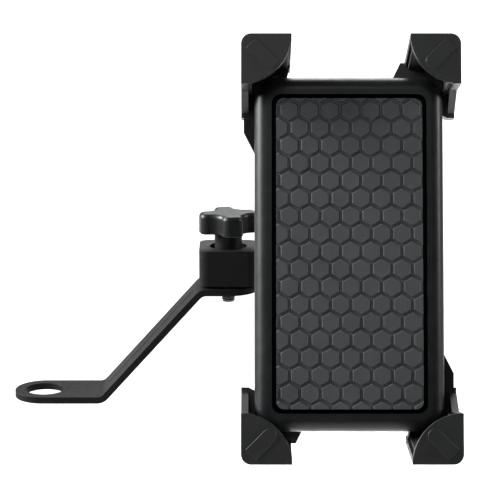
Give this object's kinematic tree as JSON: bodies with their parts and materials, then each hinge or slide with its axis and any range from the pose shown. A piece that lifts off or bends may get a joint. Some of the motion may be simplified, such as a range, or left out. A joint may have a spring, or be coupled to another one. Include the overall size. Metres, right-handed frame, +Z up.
{
  "type": "phone handlebar mount",
  "caption": "Phone holder with four spring-closed corner claws and a honeycomb pad, on a ball joint, a swivel arm with a hand knob, and a cranked mirror-stem bracket.",
  "frame": {"origin": "centre of the mirror-stem hole at the underside of the bracket's lower tab", "axes": "+Z up along the hole, +X towards the phone holder, +Y away from the screen side"},
  "size_m": [0.1569, 0.0993, 0.1398],
  "materials": {
    "bracket_steel": "semi-matt black powder coat",
    "hardware_steel": "black oxide",
    "black_nylon": "fine-grained moulded nylon",
    "shell_plastic": "satin moulded ABS",
    "claw_plastic": "satin moulded ABS",
    "gear_plastic": "natural acetal",
    "seat_plastic": "natural acetal",
    "pad_rubber": "soft silicone with a honeycomb face",
    "liner_rubber": "soft rubber",
    "spring_steel": "bright spring steel"
  },
  "bodies": {
    "bracket": {"bracket": "bracket_steel", "press_nut": "hardware_steel", "lock_washer": "hardware_steel"},
    "arm": {"arm": "black_nylon", "ball_stud": "black_nylon", "cup_washer": "hardware_steel"},
    "hand_knob": {"knob": "black_nylon", "knob_screw": "hardware_steel"},
    "pan_ring": {"rear_seat": "seat_plastic"},
    "tilt_cup": {"front_seat": "seat_plastic"},
    "holder": {"socket_flange": "black_nylon", "flange_screws": "hardware_steel", "front_shell": "shell_plastic", "pad_tray": "black_nylon", "pad": "pad_rubber", "back_cover": "shell_plastic", "cover_screws": "hardware_steel", "pinion_axle": "hardware_steel", "return_spring": "spring_steel"},
    "clamp_ring": {"ring_nut": "black_nylon"},
    "pinion": {"pinion": "gear_plastic"},
    "claw_top_left": {"rack_top_left": "black_nylon", "claw_top_left": "claw_plastic", "liner_top_left": "liner_rubber", "claw_screws_top_left": "hardware_steel"},
    "claw_top_right": {"rack_top_right": "black_nylon", "claw_top_right": "claw_plastic", "liner_top_right": "liner_rubber", "claw_screws_top_right": "hardware_steel"},
    "claw_bottom_left": {"rack_bottom_left": "black_nylon", "claw_bottom_left": "claw_plastic", "liner_bottom_left": "liner_rubber", "claw_screws_bottom_left": "hardware_steel"},
    "claw_bottom_right": {"rack_bottom_right": "black_nylon", "claw_bottom_right": "claw_plastic", "liner_bottom_right": "liner_rubber", "claw_screws_bottom_right": "hardware_steel"}
  },
  "joints": [
    {"name": "arm_swivel", "type": "hinge", "parent": "bracket", "child": "arm", "pos_m": [0.068, 0, 0.0503], "axis": [0, 0, 1], "range_deg": [-15, 150]},
    {"name": "knob_turn", "type": "hinge", "parent": "bracket", "child": "hand_knob", "pos_m": [0.068, 0, 0.0503], "axis": [0, 0, 1], "continuous": true},
    {"name": "ball_pan", "type": "hinge", "parent": "arm", "child": "pan_ring", "pos_m": [0.1094, -0.02058, 0.05651], "axis": [0, 0.289, 0.9573], "range_deg": [-15, 15]},
    {"name": "ball_tilt", "type": "hinge", "parent": "pan_ring", "child": "tilt_cup", "pos_m": [0.1094, -0.02058, 0.05651], "axis": [1, 0, 0], "range_deg": [-15, 15]},
    {"name": "ball_turn", "type": "hinge", "parent": "tilt_cup", "child": "holder", "pos_m": [0.1094, -0.02058, 0.05651], "axis": [0, -0.9573, 0.289], "continuous": true},
    {"name": "ring_turn", "type": "hinge", "parent": "holder", "child": "clamp_ring", "pos_m": [0.1094, -0.02058, 0.05651], "axis": [0, -0.9573, 0.289], "continuous": true},
    {"name": "slide_top_left", "type": "slide", "parent": "holder", "child": "claw_top_left", "axis": [-0.4555, 0.2573, 0.8522], "range_m": [0, 0.014], "stiffness_N_per_m": 250, "springref_m": -0.012},
    {"name": "slide_top_right", "type": "slide", "parent": "holder", "child": "claw_top_right", "axis": [0.4555, 0.2573, 0.8522], "range_m": [0, 0.014]},
    {"name": "slide_bottom_left", "type": "slide", "parent": "holder", "child": "claw_bottom_left", "axis": [-0.4555, -0.2573, -0.8522], "range_m": [0, 0.014]},
    {"name": "slide_bottom_right", "type": "slide", "parent": "holder", "child": "claw_bottom_right", "axis": [0.4555, -0.2573, -0.8522], "range_m": [0, 0.014]},
    {"name": "pinion_turn", "type": "hinge", "parent": "holder", "child": "pinion", "pos_m": [0.1094, -0.04234, 0.06402], "axis": [0, 0.9573, -0.289], "range_deg": [0, 149.04], "deforming": ["return_spring"]}
  ],
  "couplings": [
    {"joint": "slide_top_right", "follows": "slide_top_left", "ratio": 1},
    {"joint": "slide_bottom_left", "follows": "slide_top_left", "ratio": 1},
    {"joint": "slide_bottom_right", "follows": "slide_top_left", "ratio": 1},
    {"joint": "pinion_turn", "follows": "slide_top_left", "rad_per_m": 185.19}
  ]
}
